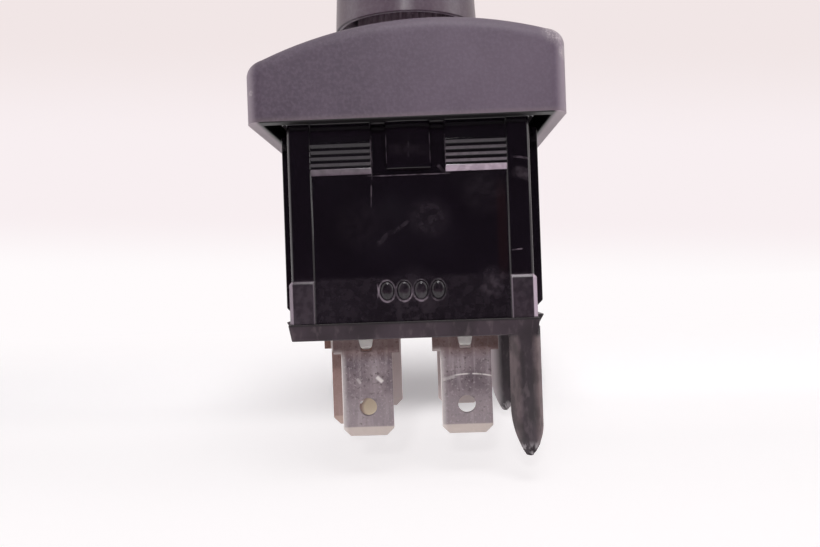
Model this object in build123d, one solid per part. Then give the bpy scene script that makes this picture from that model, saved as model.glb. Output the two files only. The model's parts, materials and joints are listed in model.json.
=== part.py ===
from build123d import *
import math
import os

# Mirror adjusting switch: a joystick knob on a cap, over a housing with flat terminals below.
# All sizes are in millimetres. The origin is the centre of the cap's rim, which sits on the panel.
# +X is to the right, -Y to the front and +Z along the knob.

# Fits and gaps
running_clearance = 0.03
press_clearance = 0.01
slip_clearance = 0.05
seat_clearance = 0.25
moving_gap = 0.4
through = 1.0  # how far a cut runs past the material

# Cap, whose roof is an arch with its crest to the right of the middle
cap_side_overhang = 4.3
cap_front_overhang = 2.75
cap_wall = 1.85
cap_roof_wall = 1.5
cap_height = 11.9
cap_corner_radius = 2.1
cap_inner_corner_radius = 0.4
cap_edge_radius = 1.9
crown_radius = 49.5
crown_offset = 3.2
cap_rib_thickness = 1.2
cap_rib_reach = 1.5
cap_rib_place = 9.0
boss_wall = 1.6
boss_bottom = 9.2

# Collar between the cap and the knob
collar_radius = 6.5
collar_top_radius = 6.1
collar_bore_radius = 5.3
collar_taper_start = 12.2
collar_top = 17.25
collar_flange_radius = 7.0
collar_flange_thickness = 0.6
flute_count = 44
flute_depth = 0.3
flute_width = 0.6

# Housing
housing_width = 28.8
housing_depth = 33.5
housing_height = 23.6
wall_side = 1.8
wall_front = 1.75
flange_side_overhang = 0.7
flange_front_overhang = 0.3
flange_thickness = 1.4
flange_corner_radius = 1.5
deck_thickness = 2.0
column_width = 2.75
panel_recess = 0.3
panel_bend_height = 5.75
foot_height = 5.2
foot_proud = 0.3
foot_chamfer = 0.45
corner_chamfer = 0.3
side_bar_proud = 1.9
side_bar_half_length = 9.5
side_bar_taper = 1.5
side_bar_end_gap = 0.25
notch_half_width = 4.4
notch_bottom = 6.15
notch_depth = 0.7
tongue_half_width = 2.7
tongue_length = 4.85
tongue_thickness = 0.6
tongue_bulge = 0.25
rib_count = 5
rib_pitch = 0.75
rib_top = 2.15
rib_proud = 0.4
rib_facet = 0.7
rib_root = 0.3
well_radius = 4.6
well_wall = 1.2
well_floor_thickness = 1.2
well_depth = 4.0
pin_way_radius = 3.4
stop_width = 1.2
stop_inset = 1.5
stop_length = 1.5

# Base plate with its two fins
plate_side_overhang = 0.5
plate_draft = 0.4
plate_thickness = 2.0
plate_overhang = 0.35
lip_side_overhang = 0.1
lip_taper = 1.2
lip_clearance = 0.2
fin_width = 3.7
fin_thickness = 2.5
fin_length = 14.35
fin_straight_inner = 7.75
fin_straight_outer = 10.85
fin_tip_offset = 2.0
fin_tip_flat = 0.3
fin_inner_belly = 0.45
fin_inner_belly_height = 2.6
fin_outer_belly = 0.35
fin_outer_belly_height = 1.8
fin_chamfer_inner = 0.9
fin_chamfer_outer = 0.5
fin_chamfer_back = 1.3
fin_chip = 0.7
spigot_wall = 1.2
spigot_height = 1.65
tower_wall = 1.2
tower_height = 1.9
post_size = 2.0
post_inset = 0.4

# Terminals
blade_width = 6.3
blade_thickness = 0.8
blade_reach = 12.35
blade_tip_chamfer = 0.9
bevel_length = 1.1
bevel_depth = 0.22
blade_hole_radius = 1.1
blade_hole_from_tip = 3.6
shoulder_width = 8.2
shoulder_reach = 2.1
shoulder_above_plate = 1.35
window_top_width = 2.1
window_bottom_width = 1.3
window_reach = 1.85
riser_width = 3.0
side_riser_width = 2.0
front_row_side_inset = 8.25
front_row_inset = 5.1
rear_row_side_inset = 8.5
rear_row_inset = 5.15
middle_side_inset = 6.0
middle_front_inset = 13.8

# Contact board, fixed contacts and bus strips
board_top = -8.6
board_thickness = 1.4
contact_head_height = 0.8
contact_head_radius = 1.0
contact_shank_radius = 0.5
contact_from_leg = 1.9
contact_y = 2.1
pad_past_contact = 1.2
strip_width = 1.6
strip_thickness = 0.5
rail_thickness = 0.7
rail_ledge = 1.1
ledge_gap = 0.2

# Joystick: pivot, gimbal ring, cradle, stem and knob
pivot_height = 6.0
pin_radius = 1.0
pin_inset = 0.1
ring_outer_radius = 7.2
ring_inner_radius = 5.2
ring_height = 2.8
cradle_radius = 4.6
cradle_height = 4.0
cradle_pin_depth = 1.7
post_gap = 0.4
frame_post_thickness = 2.0
frame_post_half_width = 2.6
frame_base_thickness = 1.0
frame_base_half_depth = 6.0
stem_radius = 2.2
stem_shoulder_radius = 3.4
stem_shoulder_height = 0.8
stem_top = 26.0
stem_chamfer = 0.4
drive_pin_radius = 1.3
drive_pin_end = -8.1
clip_thickness = 0.5
clip_radius = 3.2
clip_mouth = 2.9
clip_groove_depth = 0.4
knob_radius = 9.75
knob_top_radius = 9.2
knob_bottom = 15.85
knob_height = 12.5
knob_bore_radius = 7.75
knob_top_wall = 1.8
knob_top_round = 2.0
knob_round_step = 0.6
knob_rim = 0.7
knob_mouth_height = 2.0
knob_rib_thickness = 1.0
knob_rib_inset = 1.0
knob_boss_radius = 4.2
knob_boss_bottom = 19.6

# Return spring
spring_radius = 3.9
wire_radius = 0.3
wire_sides = 6
spring_turns = 4

# Sliding contact carriers
slider_thickness = 1.2
slider_half_width = 6.0
slider_half_length = 8.0
x_slider_middle = -4.6
y_slider_middle = -6.2
slot_clearance = 0.35
pin_travel = 1.6
leg_thickness = 1.4
leg_half_width = 2.5
x_leg_wall_gap = 1.8
y_leg_terminal_gap = 0.85
bridge_thickness = 0.4
bridge_gap = 0.1
contact_point_radius = 0.6
contact_point_height = 0.12
x_bridge_past_contact = 1.1
y_bridge_past_contact = 1.05

# Sizes that follow from the ones above
cap_width = housing_width + 2 * cap_side_overhang
cap_depth = housing_depth + 2 * cap_front_overhang
flange_bottom = seat_clearance - slip_clearance
deck_top = flange_bottom + flange_thickness
deck_bottom = deck_top - deck_thickness
plate_top = -housing_height
plate_bottom = plate_top - plate_thickness
well_floor = deck_top - well_depth
board_bottom = board_top - board_thickness
pad_top = board_top + contact_head_height
leg_bottom = pad_top + bridge_gap + contact_point_height + bridge_thickness
cavity_half_width = housing_width / 2 - wall_side
cavity_half_depth = housing_depth / 2 - wall_front
board_half_width = cavity_half_width - seat_clearance
board_half_depth = cavity_half_depth - seat_clearance
cradle_bottom = pivot_height - cradle_height / 2
cradle_top = pivot_height + cradle_height / 2
plate_half_width = housing_width / 2 + plate_side_overhang
fin_inner = plate_half_width - fin_width
blade_tip = plate_bottom - blade_reach
front_row = (housing_width / 2 - front_row_side_inset, front_row_inset - housing_depth / 2)
rear_row = (housing_width / 2 - rear_row_side_inset, housing_depth / 2 - rear_row_inset)
middle_place = (middle_side_inset - housing_width / 2, middle_front_inset - housing_depth / 2)
x_leg_middle = cavity_half_width - x_leg_wall_gap - leg_thickness / 2
y_leg_middle = -front_row[1] - blade_thickness / 2 - y_leg_terminal_gap - leg_thickness / 2
contact_x = x_leg_middle - contact_from_leg


def span(x_low, x_high, y_low, y_high, z_low, z_high):
    # A block between two corners.
    centre = Pos((x_low + x_high) / 2, (y_low + y_high) / 2, (z_low + z_high) / 2)
    return centre * Box(x_high - x_low, y_high - y_low, z_high - z_low)


def rod(radius, low, high, axis="Z", x=0, y=0, z=0):
    # A round bar along one axis; low and high are its ends along that axis.
    length = high - low
    middle = (high + low) / 2
    if axis == "X":
        return Pos(middle, y, z) * Rot(0, 90, 0) * Cylinder(radius, length)
    if axis == "Y":
        return Pos(x, middle, z) * Rot(90, 0, 0) * Cylinder(radius, length)
    return Pos(x, y, middle) * Cylinder(radius, length)


def prism(points, plane, low, high):
    # An outline in one plane, made solid between two distances along the plane's normal.
    outline = make_face(Polyline(*points, close=True))
    return extrude(plane.offset(low) * outline, amount=high - low)


def both_ends(solid):
    # The solid and its twin turned half a turn about the knob's axis.
    return solid + Rot(0, 0, 180) * solid


def both_sides(solid):
    return solid + mirror(solid, about=Plane.YZ)


def arched_block(inset, roof_inset):
    # The cap's form drawn in from its outside: a box with rounded corners under an arched roof.
    width = cap_width - 2 * inset
    depth = cap_depth - 2 * inset
    radius = max(cap_corner_radius - inset, cap_inner_corner_radius)
    footprint = extrude(RectangleRounded(width, depth, radius), amount=cap_height + through)
    arch = Rot(90, 0, 0) * Cylinder(crown_radius - roof_inset, depth)
    roof = Pos(crown_offset, 0, cap_height - crown_radius) * arch
    return footprint & roof


def make_cap():
    outside = arched_block(0, 0)
    roof_edges = outside.edges().filter_by(lambda edge: edge.center().Z > cap_height / 2)
    roof_edges = roof_edges.filter_by(lambda edge: abs((edge @ 0).Z - (edge @ 1).Z) < cap_height / 3)
    outside = fillet(roof_edges, cap_edge_radius)
    shell = outside - arched_block(cap_wall, cap_roof_wall)
    inner_form = arched_block(cap_wall / 2, cap_roof_wall / 2)
    boss = rod(collar_radius + boss_wall, boss_bottom, cap_height) & inner_form
    front = -cap_depth / 2 + cap_wall
    rib = span(-cap_rib_thickness / 2, cap_rib_thickness / 2, front - cap_wall / 2, front + cap_rib_reach,
               deck_top, cap_height)
    ribs = both_ends(Pos(-cap_rib_place, 0, 0) * rib + Pos(cap_rib_place, 0, 0) * rib)
    shell = shell + boss + (ribs & inner_form)
    return shell - rod(collar_radius + slip_clearance, 0, cap_height + through)


def make_collar():
    section = Polyline(
        (collar_bore_radius, boss_bottom - collar_flange_thickness),
        (collar_flange_radius, boss_bottom - collar_flange_thickness),
        (collar_flange_radius, boss_bottom),
        (collar_radius, boss_bottom),
        (collar_radius, collar_taper_start),
        (collar_top_radius, collar_top),
        (collar_bore_radius, collar_top),
        close=True,
    )
    ring = revolve(Plane.XZ * make_face(section), Axis.Z)
    return ring - [Rot(0, 0, 360 / flute_count * index) * flute() for index in range(flute_count)]


def flute():
    # A three-sided groove that follows the collar's taper up to its top.
    points = [(-flute_depth, 0), (flute_depth, -flute_width), (flute_depth, flute_width)]
    outline = make_face(Polyline(*points, close=True))
    length = 2 * (collar_top - collar_taper_start)
    groove = extrude(outline, amount=length)
    return Pos(collar_radius, 0, collar_taper_start) * Rot(0, -slope_angle(), 0) * groove


def slope_angle():
    rise = collar_top - collar_taper_start
    return math.degrees(math.atan2(collar_radius - collar_top_radius, rise))


def make_housing():
    half_width = housing_width / 2
    half_depth = housing_depth / 2
    body = span(-half_width, half_width, -half_depth, half_depth, -housing_height, flange_bottom)
    body = chamfer(body.edges().filter_by(Axis.Z), corner_chamfer)
    body = body - both_ends(panel_cut())
    body = body + both_ends(both_sides(rib_block()))
    body = body - both_ends(notch_cut())
    body = body + both_ends(both_sides(corner_foot()))
    body = body + both_sides(side_bar())
    flange = RectangleRounded(housing_width + 2 * flange_side_overhang,
                              housing_depth + 2 * flange_front_overhang, flange_corner_radius)
    body = body + Pos(0, 0, flange_bottom) * extrude(flange, amount=flange_thickness)
    body = body + both_ends(latch_tongue())
    body = body - span(-cavity_half_width, cavity_half_width, -cavity_half_depth, cavity_half_depth,
                       -housing_height, deck_bottom)
    return body + inside_ribs() - spring_well_cut() - frame_peg_holes()


def panel_cut():
    # The front panel lies behind the corner columns and leans out over its lowest band.
    front = -housing_depth / 2
    bend = -housing_height + panel_bend_height
    points = [
        (front + panel_recess, flange_bottom),
        (front + panel_recess, bend),
        (front, -housing_height),
        (front - through, -housing_height),
        (front - through, flange_bottom),
    ]
    half = housing_width / 2 - column_width
    return prism(points, Plane.YZ, -half, half)


def rib_block():
    # Five grip ribs beside the notch; the lowest has the widest facet.
    back = -housing_depth / 2 + panel_recess
    points = [(back + rib_root, -rib_top)]
    for index in range(rib_count - 1):
        height = -rib_top - index * rib_pitch
        points += [(back, height), (back - rib_proud, height - rib_pitch / 2)]
    lowest = -rib_top - (rib_count - 1) * rib_pitch
    points += [(back, lowest), (back - rib_proud, lowest - rib_pitch / 2)]
    foot = lowest - rib_pitch / 2 - rib_facet
    points += [(back, foot), (back + rib_root, foot)]
    return prism(points, Plane.YZ, notch_half_width, housing_width / 2 - column_width)


def notch_cut():
    front = -housing_depth / 2
    return span(-notch_half_width, notch_half_width, front - through, front + panel_recess + notch_depth,
                -notch_bottom, flange_bottom)


def latch_tongue():
    # A springy tongue under the flange, a little rounded across its front.
    back = -housing_depth / 2 + panel_recess + notch_depth - slip_clearance
    face = back - tongue_thickness
    outline = [
        Line((-tongue_half_width, back), (-tongue_half_width, face)),
        ThreePointArc((-tongue_half_width, face), (0, face - tongue_bulge), (tongue_half_width, face)),
        Line((tongue_half_width, face), (tongue_half_width, back)),
        Line((tongue_half_width, back), (-tongue_half_width, back)),
    ]
    tongue = extrude(make_face(outline), amount=tongue_length + flange_bottom)
    return Pos(0, 0, -tongue_length) * tongue


def corner_foot():
    # A proud pad at the bottom of a corner column, with chamfered top and side edges.
    inner = housing_width / 2 - column_width
    outer = housing_width / 2 + foot_proud
    front = -housing_depth / 2 - foot_proud
    pad = span(inner, outer, front, front + column_width, -housing_height, -housing_height + foot_height)
    top_edges = pad.faces().sort_by(Axis.Z)[-1].edges()
    picked = [edge for edge in top_edges
              if edge.center().Y < front + foot_proud or edge.center().X > outer - foot_proud]
    upright = pad.edges().filter_by(Axis.Z).sort_by(lambda edge: edge.center().Y - edge.center().X)[0]
    return chamfer(picked + [upright], foot_chamfer)


def side_bar():
    inner = housing_width / 2 - wall_side / 2
    outer = housing_width / 2 + side_bar_proud
    low = -housing_height + side_bar_end_gap
    points = [
        (inner, flange_bottom),
        (outer, flange_bottom),
        (outer, low + side_bar_taper),
        (outer - side_bar_taper, low),
        (inner, low),
    ]
    return prism(points, Plane.XZ, -side_bar_half_length, side_bar_half_length)


def inside_ribs():
    # Rails that guide the upper carrier, stops over the contact board and the spring well's wall.
    rail_inner = slider_half_width + seat_clearance
    rail = span(-slider_half_length, slider_half_length, rail_inner, rail_inner + rail_thickness,
                x_slider_middle - slider_thickness / 2, deck_bottom + deck_thickness / 2)
    stop = span(cavity_half_width - stop_width, cavity_half_width + wall_side / 2,
                cavity_half_depth - stop_inset - stop_length, cavity_half_depth - stop_inset,
                board_top, deck_bottom + deck_thickness / 2)
    well = rod(well_radius + well_wall, well_floor - well_floor_thickness, deck_top)
    return both_ends(rail) + both_ends(both_sides(stop)) + well


def spring_well_cut():
    way = rod(pin_way_radius, well_floor - 2 * well_floor_thickness, deck_top)
    return rod(well_radius, well_floor, deck_top + through) + way


def frame_peg_holes():
    return both_sides(rod(pin_radius + press_clearance, deck_bottom - through, deck_top + through,
                          x=peg_place()))


def peg_place():
    return ring_outer_radius + post_gap + frame_post_thickness / 2


def make_pivot_frame():
    # A saddle on the housing's deck; its two ears carry the gimbal ring.
    inner = ring_outer_radius + post_gap
    outer = inner + frame_post_thickness
    base = span(-outer, outer, -frame_base_half_depth, frame_base_half_depth, deck_top,
                deck_top + frame_base_thickness)
    base = chamfer(base.edges().filter_by(Axis.Z), frame_base_thickness)
    base = base - rod(well_radius + moving_gap, deck_top - through, deck_top + 2 * through)
    ear = span(inner, outer, -frame_post_half_width, frame_post_half_width, deck_top, pivot_height)
    ear = ear + rod(frame_post_half_width, inner, outer, "X", z=pivot_height)
    peg = rod(pin_radius, deck_bottom, deck_top + frame_base_thickness, x=peg_place())
    saddle = base + both_sides(ear + peg)
    return saddle - rod(pin_radius + press_clearance, -outer - through, outer + through, "X", z=pivot_height)


def make_gimbal_ring():
    low = pivot_height - ring_height / 2
    high = pivot_height + ring_height / 2
    ring = rod(ring_outer_radius, low, high) - rod(ring_inner_radius, low - through, high + through)
    reach = ring_outer_radius + through
    ring = ring - rod(pin_radius + running_clearance, -reach, reach, "X", z=pivot_height)
    return ring - rod(pin_radius + press_clearance, -reach, reach, "Y", z=pivot_height)


def make_ring_pin(side):
    inner = ring_inner_radius + pin_inset
    outer = ring_outer_radius + post_gap + frame_post_thickness
    ends = sorted((side * inner, side * outer))
    return rod(pin_radius, ends[0], ends[1], "X", z=pivot_height)


def make_cradle_pin(side):
    inner = cradle_radius - cradle_pin_depth + slip_clearance
    ends = sorted((side * inner, side * (ring_outer_radius - pin_inset)))
    return rod(pin_radius, ends[0], ends[1], "Y", z=pivot_height)


def make_cradle():
    hub = rod(cradle_radius, cradle_bottom, cradle_top)
    hub = hub - rod(stem_radius + slip_clearance, cradle_bottom - through, cradle_top + through)
    for side in (-1, 1):
        ends = sorted((side * (cradle_radius - cradle_pin_depth), side * (cradle_radius + through)))
        hub = hub - rod(pin_radius + running_clearance, ends[0], ends[1], "Y", z=pivot_height)
    return hub


def make_stem():
    # A turned stem: knob end, shoulder, clip groove and the long drive pin with a round end.
    groove_top = cradle_bottom - slip_clearance
    groove_low = groove_top - clip_thickness - slip_clearance
    upper_low = groove_low - clip_thickness
    stem = rod(stem_radius, upper_low, stem_top)
    stem = chamfer(stem.edges().sort_by(Axis.Z)[-1], stem_chamfer)
    stem = stem + rod(stem_shoulder_radius, cradle_top, cradle_top + stem_shoulder_height)
    groove = rod(stem_radius + through, groove_low, groove_top)
    stem = stem - (groove - rod(stem_radius - clip_groove_depth, groove_low, groove_top))
    pin = rod(drive_pin_radius, drive_pin_end + drive_pin_radius, upper_low + pin_inset)
    return stem + pin + Pos(0, 0, drive_pin_end + drive_pin_radius) * Sphere(drive_pin_radius)


def make_stem_clip():
    # An open clip that snaps into the stem's groove under the cradle.
    top = cradle_bottom - slip_clearance
    bore = stem_radius - clip_groove_depth + press_clearance
    clip = rod(clip_radius, top - clip_thickness, top) - rod(bore, top - through, top + through)
    mouth = span(-clip_mouth / 2, clip_mouth / 2, 0, clip_radius + through, top - through, top + through)
    return clip - mouth


def make_knob():
    top = knob_bottom + knob_height
    inner_top = top - knob_top_wall
    outline = make_face(Polyline((0, knob_bottom), (knob_radius, knob_bottom),
                                 (knob_top_radius, top - knob_top_round),
                                 (knob_top_radius - knob_round_step, top - knob_round_step),
                                 (knob_top_radius - knob_top_round, top), (0, top), close=True))
    solid = revolve(Plane.XZ * outline, Axis.Z)
    bore = rod(knob_bore_radius, knob_bottom, inner_top)
    mouth = make_face(Polyline((0, knob_bottom), (knob_radius - knob_rim, knob_bottom),
                               (knob_bore_radius, knob_bottom + knob_mouth_height),
                               (0, knob_bottom + knob_mouth_height), close=True))
    web = span(-knob_radius, knob_radius, -knob_rib_thickness / 2, knob_rib_thickness / 2,
               knob_boss_bottom + knob_rib_inset, top)
    webs = web + Rot(0, 0, 90) * web
    boss = rod(knob_boss_radius, knob_boss_bottom, top)
    knob = solid - (bore + revolve(Plane.XZ * mouth, Axis.Z) - boss - webs)
    return knob - rod(stem_radius + press_clearance, knob_bottom - through, stem_top + slip_clearance)


def make_return_spring():
    low = well_floor + wire_radius + slip_clearance
    high = cradle_bottom - wire_radius - slip_clearance
    pitch = (high - low) / spring_turns
    path = Helix(pitch, high - low, spring_radius)
    section = Plane(origin=path @ 0, z_dir=path % 0) * RegularPolygon(wire_radius, wire_sides)
    return Pos(0, 0, low) * sweep(section, path=path, is_frenet=True)


def slider_plate(middle, along_x):
    # A flat carrier with a slot across its own way of sliding, for the drive pin.
    slot_half_width = drive_pin_radius + slot_clearance
    slot_half_length = drive_pin_radius + pin_travel + moving_gap
    low = middle - slider_thickness / 2
    high = middle + slider_thickness / 2
    reach = (x_leg_middle if along_x else y_leg_middle) + leg_thickness / 2
    plate = span(-slider_half_length, slider_half_length, -slider_half_width, slider_half_width, low, high)
    arm = span(-reach, reach, -leg_half_width, leg_half_width, low, high)
    leg = span(reach - leg_thickness, reach, -leg_half_width, leg_half_width, leg_bottom, high)
    slot = span(-slot_half_width, slot_half_width, -slot_half_length, slot_half_length, low - through,
                high + through)
    slider = plate + arm + both_sides(leg) - slot
    return slider if along_x else Rot(0, 0, 90) * slider


def make_bridge(along_x, side):
    # A springy brass bar under a carrier's leg, with a contact point near each end.
    high = leg_bottom
    low = high - bridge_thickness
    point_place = contact_y if along_x else front_row[0]
    half_length = point_place + (x_bridge_past_contact if along_x else y_bridge_past_contact)
    middle = x_leg_middle if along_x else y_leg_middle
    half = leg_thickness / 2
    bar = span(middle - half, middle + half, -half_length, half_length, low, high)
    for place in (-point_place, point_place):
        bar = bar + rod(contact_point_radius, low - contact_point_height, low, x=middle, y=place)
    turn = (0 if side > 0 else 180) if along_x else (90 if side > 0 else -90)
    return Rot(0, 0, turn) * bar


def terminal(place, riser_centre, width, toward, pad_end):
    # One stamped strip: tab, shoulders, riser through the board and a pad folded over on top of it.
    x, y = place
    half = blade_thickness / 2
    tab = blade_outline()
    strip = extrude(Plane.XZ * tab, amount=half, both=True)
    strip = strip - tip_bevels()
    strip = Pos(x, y, 0) * strip
    riser = span(riser_centre - width / 2, riser_centre + width / 2, y - half, y + half,
                 plate_top, pad_top)
    back = y - toward * half
    ends = sorted((back, pad_end))
    pad = span(riser_centre - width / 2, riser_centre + width / 2, ends[0], ends[1], board_top, pad_top)
    return strip + riser + pad


def blade_outline():
    half = blade_width / 2
    shoulder = shoulder_width / 2
    points = [
        (-half + blade_tip_chamfer, blade_tip),
        (half - blade_tip_chamfer, blade_tip),
        (half, blade_tip + blade_tip_chamfer),
        (half, plate_bottom - shoulder_reach),
        (shoulder, plate_bottom - shoulder_reach),
        (shoulder, plate_top + shoulder_above_plate),
        (-shoulder, plate_top + shoulder_above_plate),
        (-shoulder, plate_bottom - shoulder_reach),
        (-half, plate_bottom - shoulder_reach),
        (-half, blade_tip + blade_tip_chamfer),
    ]
    window = [
        (-window_bottom_width / 2, plate_bottom - window_reach),
        (window_bottom_width / 2, plate_bottom - window_reach),
        (window_top_width / 2, plate_bottom),
        (-window_top_width / 2, plate_bottom),
    ]
    outline = make_face(Polyline(*points, close=True)) - make_face(Polyline(*window, close=True))
    return outline - Pos(0, blade_tip + blade_hole_from_tip) * Circle(blade_hole_radius)


def tip_bevels():
    # Wedges cut from both faces, so that a receptacle finds the tab.
    half = blade_thickness / 2
    points = [
        (half, blade_tip + bevel_length),
        (half - bevel_depth, blade_tip),
        (half + through, blade_tip),
        (half + through, blade_tip + bevel_length),
    ]
    wedge = prism(points, Plane.YZ, -blade_width, blade_width)
    return wedge + mirror(wedge, about=Plane.XZ)


def terminal_list():
    # Name, place, riser centre, riser width, way that the pad is folded and the pad's end.
    pad_front = -(y_leg_middle + contact_point_radius + 3 * bridge_gap)
    pad_rear = -pad_front
    side_riser = -contact_x
    return [
        ("terminal_front_left", (-front_row[0], front_row[1]), -front_row[0], riser_width, 1, pad_front),
        ("terminal_front_right", front_row, front_row[0], riser_width, 1, pad_front),
        ("terminal_middle_left", middle_place, side_riser, side_riser_width, 1, -contact_y + pad_past_contact),
        ("terminal_rear_left", (-rear_row[0], rear_row[1]), -rear_row[0], riser_width, -1, pad_rear),
        ("terminal_rear_right", rear_row, rear_row[0], riser_width, -1, pad_rear),
    ]


def terminal_slots(riser, low, high):
    # Through slots for every terminal: for its shoulders, or for its riser alone.
    slots = []
    for _, place, riser_centre, width, _, _ in terminal_list():
        centre = riser_centre if riser else place[0]
        half = (width if riser else shoulder_width) / 2 + slip_clearance
        thick = blade_thickness / 2 + slip_clearance
        slots.append(span(centre - half, centre + half, place[1] - thick, place[1] + thick, low, high))
    return slots


def make_contact_board():
    board = span(-board_half_width, board_half_width, -board_half_depth, board_half_depth, board_bottom,
                 board_top)
    rail_inner = slider_half_width + seat_clearance
    ledge = span(slider_half_width - rail_ledge, rail_inner + rail_thickness, -slider_half_width,
                 slider_half_width, board_top, y_slider_middle - slider_thickness / 2 - ledge_gap)
    rail = span(rail_inner, rail_inner + rail_thickness, -slider_half_width, slider_half_width, board_top,
                y_slider_middle + slider_thickness / 4)
    board = board + both_sides(ledge + rail)
    for _, x, y, _, _ in contact_list():
        board = board - rod(contact_shank_radius + slip_clearance, board_bottom - through, board_top + through,
                            x=x, y=y)
    return board - terminal_slots(True, board_bottom - through, pad_top)


def contact_list():
    # Name ending, place and the terminal that the bus strip runs to.
    return [
        ("left", -contact_x, contact_y, -rear_row[0], rear_row[1]),
        ("right_rear", contact_x, contact_y, rear_row[0], rear_row[1]),
        ("right_front", contact_x, -contact_y, front_row[0], front_row[1]),
    ]


def make_fixed_contact(x, y):
    head = rod(contact_head_radius, board_top, pad_top, x=x, y=y)
    return head + rod(contact_shank_radius, board_bottom - strip_thickness, board_top, x=x, y=y)


def make_bus_strip(x, y, terminal_x, terminal_y):
    # A strip under the board, from a fixed contact to the side of a terminal's riser.
    side = math.copysign(1, x)
    inner = side * (abs(terminal_x) + riser_width / 2)
    ends_x = sorted((inner, inner + side * strip_width))
    far = terminal_y + math.copysign(blade_thickness / 2, terminal_y)
    near = y - math.copysign(strip_width / 2, terminal_y)
    ends_y = sorted((near, far))
    strip = span(ends_x[0], ends_x[1], ends_y[0], ends_y[1], board_bottom - strip_thickness, board_bottom)
    return strip - rod(contact_shank_radius + press_clearance, board_bottom - 2 * through, board_top, x=x, y=y)


def fin():
    # The front fin: straight sides that close in round arcs to a narrow tip.
    front = -housing_depth / 2 - plate_overhang
    outer = fin_inner + fin_width
    tip = plate_bottom - fin_length
    tip_x = fin_inner + fin_tip_offset
    inner_end = plate_bottom - fin_straight_inner
    outer_end = plate_bottom - fin_straight_outer
    top = plate_bottom + plate_thickness / 2
    outline = [
        Line((fin_inner, top), (fin_inner, inner_end)),
        ThreePointArc((fin_inner, inner_end), (fin_inner + fin_inner_belly, tip + fin_inner_belly_height),
                      (tip_x - fin_tip_flat, tip)),
        Line((tip_x - fin_tip_flat, tip), (tip_x + fin_tip_flat, tip)),
        ThreePointArc((tip_x + fin_tip_flat, tip), (outer - fin_outer_belly, tip + fin_outer_belly_height),
                      (outer, outer_end)),
        Line((outer, outer_end), (outer, top)),
        Line((outer, top), (fin_inner, top)),
    ]
    blade = extrude(Plane.XZ.offset(-front) * make_face(outline), amount=-fin_thickness)
    inner_edges = [edge for edge in fin_face_edges(blade) if edge.center().X < tip_x - fin_tip_flat]
    blade = chamfer(inner_edges, fin_chamfer_inner)
    outer_edges = [edge for edge in fin_face_edges(blade) if edge.center().X > tip_x + fin_tip_flat]
    blade = chamfer(outer_edges, fin_chamfer_outer)
    back_edges = [edge for edge in blade.faces().sort_by(Axis.Y)[-1].edges() if edge.center().Z < plate_bottom]
    return chamfer([edge for edge in back_edges if edge.center().X < tip_x - fin_tip_flat], fin_chamfer_back)


def fin_face_edges(blade):
    # The edges round the fin's front face, without the one that lies inside the plate.
    return [edge for edge in blade.faces().sort_by(Axis.Y)[0].edges() if edge.center().Z < plate_bottom]


def make_base_plate():
    half_depth = housing_depth / 2 + plate_overhang
    points = [
        (-plate_half_width, plate_top),
        (plate_half_width, plate_top),
        (plate_half_width - plate_draft, plate_bottom),
        (-plate_half_width + plate_draft, plate_bottom),
    ]
    plate = prism(points, Plane.XZ, -half_depth, half_depth)
    lip_half_width = housing_width / 2 + side_bar_proud + lip_side_overhang
    lip = [
        (housing_width / 2, plate_top),
        (lip_half_width, plate_top),
        (lip_half_width - lip_taper, plate_bottom),
        (housing_width / 2, plate_bottom),
    ]
    lip_half_length = side_bar_half_length + lip_clearance
    plate = plate + both_sides(prism(lip, Plane.XZ, -lip_half_length, lip_half_length))
    front_fin = fin()
    chip = Pos(fin_inner + fin_tip_offset + fin_chip, -half_depth, plate_bottom - fin_length)
    worn_fin = front_fin - chip * Rot(0, 35, 20) * Box(2 * fin_chip, 2 * fin_chip, fin_chip)
    plate = plate + worn_fin + mirror(front_fin, about=Plane.XZ)
    spigot = span(-board_half_width, board_half_width, -board_half_depth, board_half_depth, plate_top,
                  plate_top + spigot_height)
    spigot = spigot - spigot_hollow()
    post = span(board_half_width - post_inset - post_size, board_half_width - post_inset,
                board_half_depth - post_inset - post_size, board_half_depth - post_inset, plate_top,
                board_bottom)
    plate = plate + spigot + both_ends(both_sides(post))
    for _, place, _, _, _, _ in terminal_list():
        plate = plate + tower(place)
    return plate - terminal_slots(False, plate_bottom - through, plate_top + tower_height + through)


def spigot_hollow():
    half_width = board_half_width - spigot_wall
    half_depth = board_half_depth - spigot_wall
    return span(-half_width, half_width, -half_depth, half_depth, plate_top,
                plate_top + spigot_height + through)


def tower(place):
    x, y = place
    half = shoulder_width / 2 + tower_wall
    low = max(x - half, -board_half_width)
    thick = blade_thickness / 2 + tower_wall
    return span(low, x + half, y - thick, y + thick, plate_top, plate_top + tower_height)


def build_parts():
    parts = {
        "cap": make_cap(),
        "collar": make_collar(),
        "housing": make_housing(),
        "base_plate": make_base_plate(),
        "contact_board": make_contact_board(),
        "pivot_frame": make_pivot_frame(),
        "gimbal_ring": make_gimbal_ring(),
        "cradle": make_cradle(),
        "stem": make_stem(),
        "stem_clip": make_stem_clip(),
        "knob": make_knob(),
        "return_spring": make_return_spring(),
        "x_slider": slider_plate(x_slider_middle, True),
        "y_slider": slider_plate(y_slider_middle, False),
    }
    for name, side in (("left", -1), ("right", 1)):
        parts["ring_pin_" + name] = make_ring_pin(side)
        parts["x_bridge_" + name] = make_bridge(True, side)
    for name, side in (("front", -1), ("rear", 1)):
        parts["cradle_pin_" + name] = make_cradle_pin(side)
        parts["y_bridge_" + name] = make_bridge(False, side)
    for name, place, riser_centre, width, toward, pad_end in terminal_list():
        parts[name] = terminal(place, riser_centre, width, toward, pad_end)
    for name, x, y, terminal_x, terminal_y in contact_list():
        parts["fixed_contact_" + name] = make_fixed_contact(x, y)
        parts["bus_strip_" + name] = make_bus_strip(x, y, terminal_x, terminal_y)
    return parts


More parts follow.
